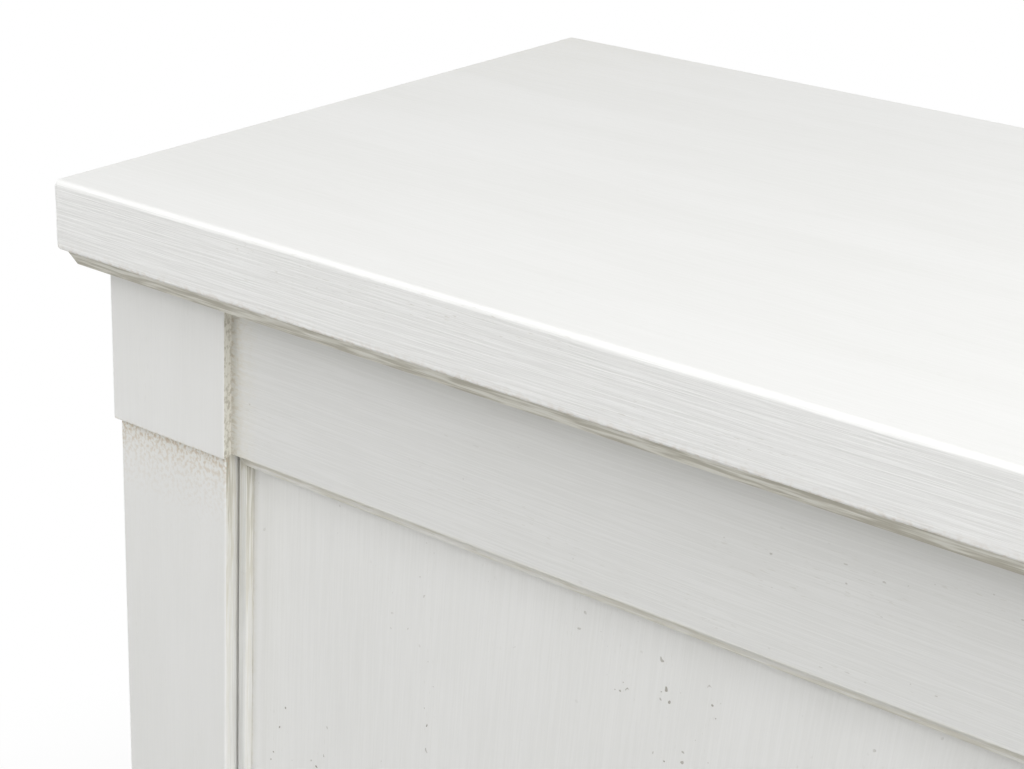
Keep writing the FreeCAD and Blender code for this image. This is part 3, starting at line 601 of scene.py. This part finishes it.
# %% [markdown]
# ## Frame, blocks and pilasters
#
# The front is a frame of rails and stiles. At each corner a thin pilaster wraps round the
# stile, with a slightly thicker block above it and another at the foot. Their outline is
# an L, which is swept upwards like any other board. The steps between these layers are
# only 3 to 7 mm, so the stain in their corners does as much to show them as the shadow.

# %% Front frame
frieze_low, frieze_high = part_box("frieze_rail")
base_low, base_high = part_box("base_rail")
opening_low, opening_high = base_high.z, frieze_low.z


def rail_patina_and_painted_shade(points, normals):
    ends = near(points, X, frieze_low.x, 8 * MM) + near(points, X, frieze_high.x, 8 * MM)
    # A dark line right under the cornice is painted shadow.
    painted_shadow_under_top = near(points, Z, frieze_high.z, 3 * MM)
    lips = near(points, Z, frieze_low.z, 0.8 * MM) + near(points, Z, base_high.z, 0.8 * MM)
    foot = near(points, Z, base_low.z, 14 * MM)
    # Undersides are darkened as painted shade.
    painted_underside_shade = facing(normals, Z, -1)
    return 0.60 * ends + 0.40 * painted_shadow_under_top + 0.45 * lips + 0.30 * foot + 0.45 * painted_underside_shade


def rail_rub(points, normals):
    """Worn where the rails meet the blocks, most of all under the top."""
    ends = near(points, X, frieze_low.x, 5 * MM) + near(points, X, frieze_high.x, 5 * MM)
    return 0.8 * ends * (0.3 + near(points, Z, frieze_high.z, 25 * MM))


def stile_patina(points, normals):
    in_opening = facing(normals, X, 1) * (points[:, X] < 0) + facing(normals, X, -1) * (points[:, X] > 0)
    height = near(points, Z, opening_high, 90 * MM) + near(points, Z, opening_low, 60 * MM)
    wiped_in = near(points, Y, frieze_low.y, 9 * MM)
    return (in_opening * wiped_in * (0.08 + 0.62 * height)
            + 0.3 * near(points, Z, base_low.z, 14 * MM))


for node in ("frieze_rail", "base_rail"):
    board = sweep(*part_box(node), X, 0.7 * MM, seed=node)
    make_piece(node + "_board", [board], [rail_wash_with_painted_shade], node, "carcass", "whitewashed_wood",
               rail_patina_and_painted_shade, rail_rub, pitted=half_open)
for node in ("front_stile_left", "front_stile_right"):
    board = sweep(*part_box(node), Z, 0.4 * MM, seed=node)
    make_piece(node + "_board", [board], [whitewash[Z]], node, "carcass", "whitewashed_wood",
               stile_patina, brushed=wide_open)
print("the opening is", round((opening_high - opening_low) / MM), "mm high")

# %% Blocks and pilasters
frame_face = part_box("front_stile_left")[0].y


def wrapped_corners(node, arris):
    """The L of a plate that wraps round a front corner of the carcass, anticlockwise."""
    low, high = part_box(node)
    thickness = frame_face - low.y
    hidden = 0.2 * MM
    left = [(low.x, low.y, arris), (high.x, low.y, arris), (high.x, low.y + thickness, hidden),
            (low.x + thickness, low.y + thickness, hidden), (low.x + thickness, high.y, hidden),
            (low.x, high.y, arris)]
    if low.x < 0:
        return left
    middle = low.x + high.x
    return [(middle - x, y, radius) for x, y, radius in reversed(left)]


def dress_rules(node):
    """Patina, rub and brushing for a block or pilaster: its return towards the door is dark, and stain
    and wear show where it meets its neighbours; the thin dark line at a block's top, under the cornice,
    is painted shade."""
    low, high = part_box(node)
    towards_door = 1 if low.x < 0 else -1
    is_block = "block" in node

    def returns(points, normals):
        return (normals[:, X] * towards_door > 0.95) + facing(normals, Y, 1)

    def patina_and_shade(points, normals):
        # A block's thin dark line under the cornice is painted shade; a pilaster's wider band under its
        # block is stain.
        top_stain_and_shade = near(points, Z, high.z, (1.4 if is_block else 12) * MM)
        other = near(points, Z, low.z, (0.8 if is_block else 7) * MM)
        fading = 1.0 if is_block else 0.75 * near(points, Z, high.z, 90 * MM) + 0.12
        flat_ends = facing(normals, Z, 1) + facing(normals, Z, -1)
        return (0.85 * returns(points, normals) * fading + 0.50 * top_stain_and_shade
                + (0.35 if is_block else 0.5) * other + 0.5 * flat_ends)

    def rub(points, normals):
        if is_block:
            return 0.5 * near(points, Z, low.z, 0.8 * MM)
        return 1.1 * near(points, Z, high.z, 14 * MM)

    def brushed(points, normals):
        return 0.15 + (0.0 if is_block else 0.85) * returns(points, normals)

    return patina_and_shade, rub, brushed


for kind, arris, end in (("capital_block", 1.2 * MM, 0.8 * MM), ("pilaster", 1.5 * MM, 0.0),
                         ("base_block", 1.2 * MM, 0.8 * MM)):
    for side in ("left", "right"):
        node = kind + "_" + side
        plate = sweep(*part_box(node), Z, end=end, corners=wrapped_corners(node, arris), seed=node)
        make_piece(node + "_plate", [plate], [whitewash[Z]], node, "carcass", "whitewashed_wood",
                   *dress_rules(node))

# %% [markdown]
# ## Sides and back
#
# Each side is a frame with a thin panel let into it and a small bead round the panel. The
# bead is four strips with mitred corners, so each strip has its own grain direction, and
# the ring keeps one material for each. The back is plainer, as on any cabinet that stands
# against a wall.

# %% Rings of mitred strips
def ring_of_strips(low, high, width, thin, arris, seed):
    """Four mitred strips round a rectangle, and the grain of each. thin is the axis that it faces."""
    strips, grains = [], []
    across = [axis for axis in (X, Y, Z) if axis != thin]
    for axis, grain in (across, across[::-1]):
        for at_high in (False, True):
            strip_low, strip_high = low.copy(), high.copy()
            if at_high:
                strip_low[axis] = high[axis] - width
            else:
                strip_high[axis] = low[axis] + width
            outer = high[axis] if at_high else low[axis]
            strips.append(sweep(strip_low, strip_high, grain, arris, mitre=(axis, outer),
                                seed=f"{seed} {axis} {at_high}"))
            grains.append(grain)
    return strips, grains


# %% Side frames, panels and beads
bead_low, bead_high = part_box("side_bead_left")
BEAD_WIDTH = 6 * MM


def side_patina_and_painted_shadow(points, normals):
    inner = near(points, Y, bead_low.y, 2.5 * MM) + near(points, Y, bead_high.y, 2.5 * MM)
    levels = near(points, Z, bead_low.z, 2.5 * MM) + near(points, Z, bead_high.z, 2.5 * MM)
    foot = near(points, Z, base_low.z, 14 * MM)
    # A dark line right under the cornice is painted shadow.
    painted_shadow_under_top = near(points, Z, frieze_high.z, 4 * MM)
    return 0.32 * inner + 0.30 * levels + 0.35 * foot + 0.45 * painted_shadow_under_top


def panel_patina(points, normals):
    inner = near(points, Y, bead_low.y, 12 * MM) + near(points, Y, bead_high.y, 12 * MM)
    levels = near(points, Z, bead_low.z, 14 * MM) + near(points, Z, bead_high.z, 14 * MM)
    return 0.45 * np.maximum(inner, levels)


SIDE_BOARDS = (
    # node, grain, radius of the arrises, patina rule
    ("side_front_stile", Z, 0.7 * MM, side_patina_and_painted_shadow),
    ("side_rear_stile", Z, 1.2 * MM, side_patina_and_painted_shadow),
    ("side_top_rail", Y, 0.7 * MM, side_patina_and_painted_shadow),
    ("side_bottom_rail", Y, 0.7 * MM, side_patina_and_painted_shadow),
    ("side_panel", Z, 0.5 * MM, panel_patina),
)
for side in ("left", "right"):
    for kind, grain, arris, rule in SIDE_BOARDS:
        node = kind + "_" + side
        board = sweep(*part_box(node), grain, arris, seed=node)
        make_piece(node + "_board", [board], [whitewash[grain]], node, "carcass",
                   "whitewashed_wood", rule)
    node = "side_bead_" + side
    strips, grains = ring_of_strips(*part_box(node), BEAD_WIDTH, X, 1.2 * MM, node)
    make_piece(node + "_strips", strips, [whitewash[grain] for grain in grains], node,
               "carcass", "whitewashed_wood", lambda points, normals: np.full(len(points), 0.42))
    print(side, "side: 5 boards and a bead")

# %% Back
def back_patina(points, normals):
    low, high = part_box("back_panel")
    edges = near(points, Z, low.z, 20 * MM) + near(points, Z, high.z, 20 * MM)
    return 0.15 + 0.35 * edges


for node, grain in (("back_panel", Z), ("back_top_rail", X), ("back_bottom_rail", X)):
    board = sweep(*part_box(node), grain, 0.6 * MM, seed=node)
    make_piece(node + "_board", [board], [inner_wash[grain]], node, "carcass", "inner_wood",
               back_patina)
print("back: one panel between two rails")

# %% [markdown]
# ## Doors
#
# Each door is one tall flat panel in a narrow edging. The edging is the small pale ledge that shows
# inside the frame. Stain sits in the gaps at both sides of it, strongest at the top, where a cloth
# doesn't reach, and thin dark lines of painted shadow run under the rail and along the panel's edges. A
# paler strip on the panel beside the edging is a painted highlight.

# %% Doors
EDGING_WIDTH = 6 * MM


def edging_patina_and_painted_shadow(points, normals):
    """Clean on its face below the top corners, and stained on its inner side and towards the top. The
    dark line at its very top, under the rail, and the one on the lower arris of its top strip are
    painted shadow.
    """
    low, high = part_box("door_edging_left")
    height = near(points, Z, high.z, 90 * MM)
    inner = 1 - facing(normals, Y, -1)
    painted_shadow_under_rail = near(points, Z, high.z, 1.5 * MM)
    painted_shadow_at_lower_arris = near(points, Z, high.z - EDGING_WIDTH, 0.7 * MM)
    return (0.26 * height * (1 - painted_shadow_under_rail) + (0.12 + 0.30 * height) * inner + 0.5 * painted_shadow_under_rail
            + 0.6 * painted_shadow_at_lower_arris)


def leaf_painted_edge_shadow(points, normals):
    # A thin dark line on the panel along its edges, where the edging meets it: painted shadow.
    edges = sum(near(points, axis, value, 1.2 * MM)
                for low, high in [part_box("door_panel_" + side) for side in ("left", "right")]
                for axis, value in ((X, low.x), (X, high.x), (Z, low.z), (Z, high.z)))
    return 0.40 * edges


def leaf_painted_highlight(points, normals):
    """A paler strip 1 to 5 mm in from the panel's sides: a painted highlight beside the edging."""
    low, high = [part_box("door_panel_" + ("left" if points[0, X] < 0 else "right"))[k] for k in (0, 1)]
    inset = np.minimum(points[:, X] - low.x, high.x - points[:, X])
    return 0.9 * (inset > 1 * MM) * (inset < 5 * MM)


def barely_open(points, normals):
    return np.full(len(points), 0.3)


for side in ("left", "right"):
    body = "door_" + side
    node = "door_panel_" + side
    leaf = sweep(*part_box(node), Z, 0.4 * MM, seed=node)
    make_piece(node + "_leaf", [leaf], [whitewash[Z]], node, body, "whitewashed_wood", leaf_painted_edge_shadow,
               brushed=barely_open, pitted=wide_open, painted_highlight=leaf_painted_highlight)
    node = "door_edging_" + side
    strips, grains = ring_of_strips(*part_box(node), EDGING_WIDTH, Y, 0.6 * MM, node)
    make_piece(node + "_strips", strips, [whitewash[grain] for grain in grains], node, body,
               "whitewashed_wood", edging_patina_and_painted_shadow, brushed=wide_open)
    print(body, "is made of a leaf and four edging strips")

# %% [markdown]
# ## Inside
#
# Shelves and the floor are plain boards with a thin matt wash, so they are swept as the
# outside is. Notched and bored pieces, such as the partition that fits round the cornice,
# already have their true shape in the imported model, so they keep it and only get the
# finish.

# %% Shelves, floor and inner fittings of wood
for node in ("floor_board", "hat_shelf", "shelf_1", "shelf_2", "shelf_3", "shelf_4"):
    low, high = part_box(node)
    board = sweep(low, high, X, 1.0 * MM, seed=node)
    make_piece(node + "_wood", [board], [inner_wash[X]], node, "carcass", "inner_wood",
               lambda points, normals: 0.25 * near(points, Y, 0.266, 20 * MM))

for node, grain in (("partition", Z), ("top_packing_strip", X), ("floor_cleats", X),
                    ("foot_blocks", Z), ("rod_battens", Y), ("door_stops", X), ("hanging_rod", X)):
    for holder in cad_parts[node].material_slots:
        holder.material = inner_wash[grain]
print("inside: 6 boards swept, 7 nodes refinished")

# %% [markdown]
# ## Metal and plastic
#
# The hinge plates are rolled brass, the screws and rod sockets are zinc-plated steel. A metal keeps the
# default IOR and takes its colour from the base colour. What tells one from the other is how the surface
# was made: rolling leaves fine lines along the sheet, plating leaves faint spangles, and a moulded
# plastic has a soft even skin with no lines.

# %% Metals and plastics
def fitting_finish(name, tone, worn_tone, metallic, roughness, cell, depth):
    """A metal or plastic skin: two tones in clouds, and a fine texture cell mm wide."""
    material, tree = new_material(name)
    place = add(tree, "ShaderNodeTexCoord").outputs["Object"]
    clouds = add(tree, "ShaderNodeTexNoise", {"Vector": place, "Scale": 1 / (14 * MM), "Detail": 3.0})
    share = add(tree, "ShaderNodeMapRange", {"Value": clouds, "From Min": 0.38, "From Max": 0.66})
    colour = add(tree, "ShaderNodeMix", {"Factor": share, "A": linear(tone), "B": linear(worn_tone)},
                 data_type="RGBA")
    texture = add(tree, "ShaderNodeTexNoise", {"Vector": place, "Scale": 1 / (cell * MM), "Detail": 2.0})
    bump = add(tree, "ShaderNodeBump", {"Strength": 0.3, "Distance": depth * MM, "Height": texture})
    dull = add(tree, "ShaderNodeMapRange", {"Value": clouds, "To Min": roughness - 0.08,
               "To Max": roughness + 0.08})
    skin = add(tree, "ShaderNodeBsdfPrincipled", {"Base Color": colour, "Metallic": metallic,
               "Roughness": dull, "Normal": bump})
    add(tree, "ShaderNodeOutputMaterial", {"Surface": skin})
    return material


rolled_brass = fitting_finish("rolled_brass", "#C9A765", "#A8874C", 1.0, 0.34, 0.8, 0.02)
aged_brass = fitting_finish("aged_brass", "#5E4C33", "#93764A", 1.0, 0.42, 1.2, 0.05)
zinc_plate = fitting_finish("zinc_plated_steel", "#C4C5C4", "#A7A9AA", 1.0, 0.30, 1.5, 0.02)
catch_plastic = fitting_finish("moulded_white_plastic", "#E2E0D9", "#D8D5CC", 0.0, 0.45, 0.6, 0.03)
glide_plastic = fitting_finish("moulded_grey_plastic", "#4B4A47", "#3E3D3B", 0.0, 0.50, 0.6, 0.04)

FITTINGS = (
    (rolled_brass, ("hinge_frame_plates", "door_hinge_plates_left", "door_hinge_plates_right",
                    "shelf_pins")),
    (zinc_plate, ("fitting_screws", "door_screws_left", "door_screws_right", "rod_sockets",
                  "door_strike_left", "door_strike_right")),
    (catch_plastic, ("magnetic_catches",)),
    (glide_plastic, ("glides",)),
)
for finish, nodes in FITTINGS:
    for node in nodes:
        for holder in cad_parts[node].material_slots:
            holder.material = finish
    print(finish.name, "on", len(nodes), "nodes")

# %% [markdown]
# ## Knobs
#
# A small turned knob on each door: a flat rose, a waisted neck and a domed head with a fine ring cut
# near its rim. It was turned on a lathe, so half of its outline is drawn and carried round the axis. Old
# brass is dark in its hollows and rubbed bright on the crown, where fingers hold it; its finish here
# mixes a dark and a brighter brass in clouds.

# %% Knobs
TURNS = 56
KNOB_OUTLINE = (
    # share of the length from the door, share of the largest radius
    (0.000, 0.880), (0.012, 0.925), (0.035, 0.933), (0.060, 0.925), (0.080, 0.880),
    (0.095, 0.740), (0.110, 0.700), (0.130, 0.690), (0.160, 0.600), (0.220, 0.470),
    (0.310, 0.405), (0.420, 0.400), (0.500, 0.440), (0.560, 0.560), (0.600, 0.720),
    (0.635, 0.880), (0.670, 0.960), (0.710, 0.995), (0.745, 1.000), (0.765, 0.985),
    (0.775, 0.960), (0.790, 0.958), (0.800, 0.972), (0.830, 0.945), (0.870, 0.860),
    (0.910, 0.720), (0.945, 0.560), (0.972, 0.380), (0.990, 0.200), (1.000, 0.010),
)


def turned_knob(side):
    """A lathed knob that fills the box of its node and points out of the door."""
    node = "door_knob_" + side
    low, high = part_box(node)
    radius = (high.x - low.x) / 2
    centre = (low + high) / 2
    points, faces = [], []
    for along, out in KNOB_OUTLINE:
        for k in range(TURNS):
            angle = 2 * math.pi * k / TURNS
            points.append((centre.x + radius * out * math.cos(angle), high.y - (high.y - low.y) * along,
                           centre.z + radius * out * math.sin(angle)))
    for i in range(len(KNOB_OUTLINE) - 1):
        for k in range(TURNS):
            n = (k + 1) % TURNS
            faces.append((i * TURNS + k, (i + 1) * TURNS + k, (i + 1) * TURNS + n, i * TURNS + n))
    faces.append(tuple(range(TURNS)))
    faces.append(tuple(reversed(range(len(points) - TURNS, len(points)))))
    mesh = bpy.data.meshes.new("knob_" + side)
    mesh.from_pydata(points, [], faces)
    mesh.polygons.foreach_set("use_smooth", [True] * len(faces))
    mesh.materials.append(aged_brass)
    knob = bpy.data.objects.new("knob_" + side, mesh)
    bpy.context.scene.collection.objects.link(knob)
    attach(knob, "door_" + side)
    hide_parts(node)
    return knob


for side in ("left", "right"):
    print(turned_knob(side).name, "has", len(KNOB_OUTLINE) * TURNS, "points")

# %% [markdown]
# ## The view transform
#
# The boards are swept inside the boxes of their nodes, so the finished cabinet has to measure what the
# imported model does. The last step shows the colours through the plain Standard view transform.

# %% View transform
bpy.context.scene.view_settings.view_transform = "Standard"
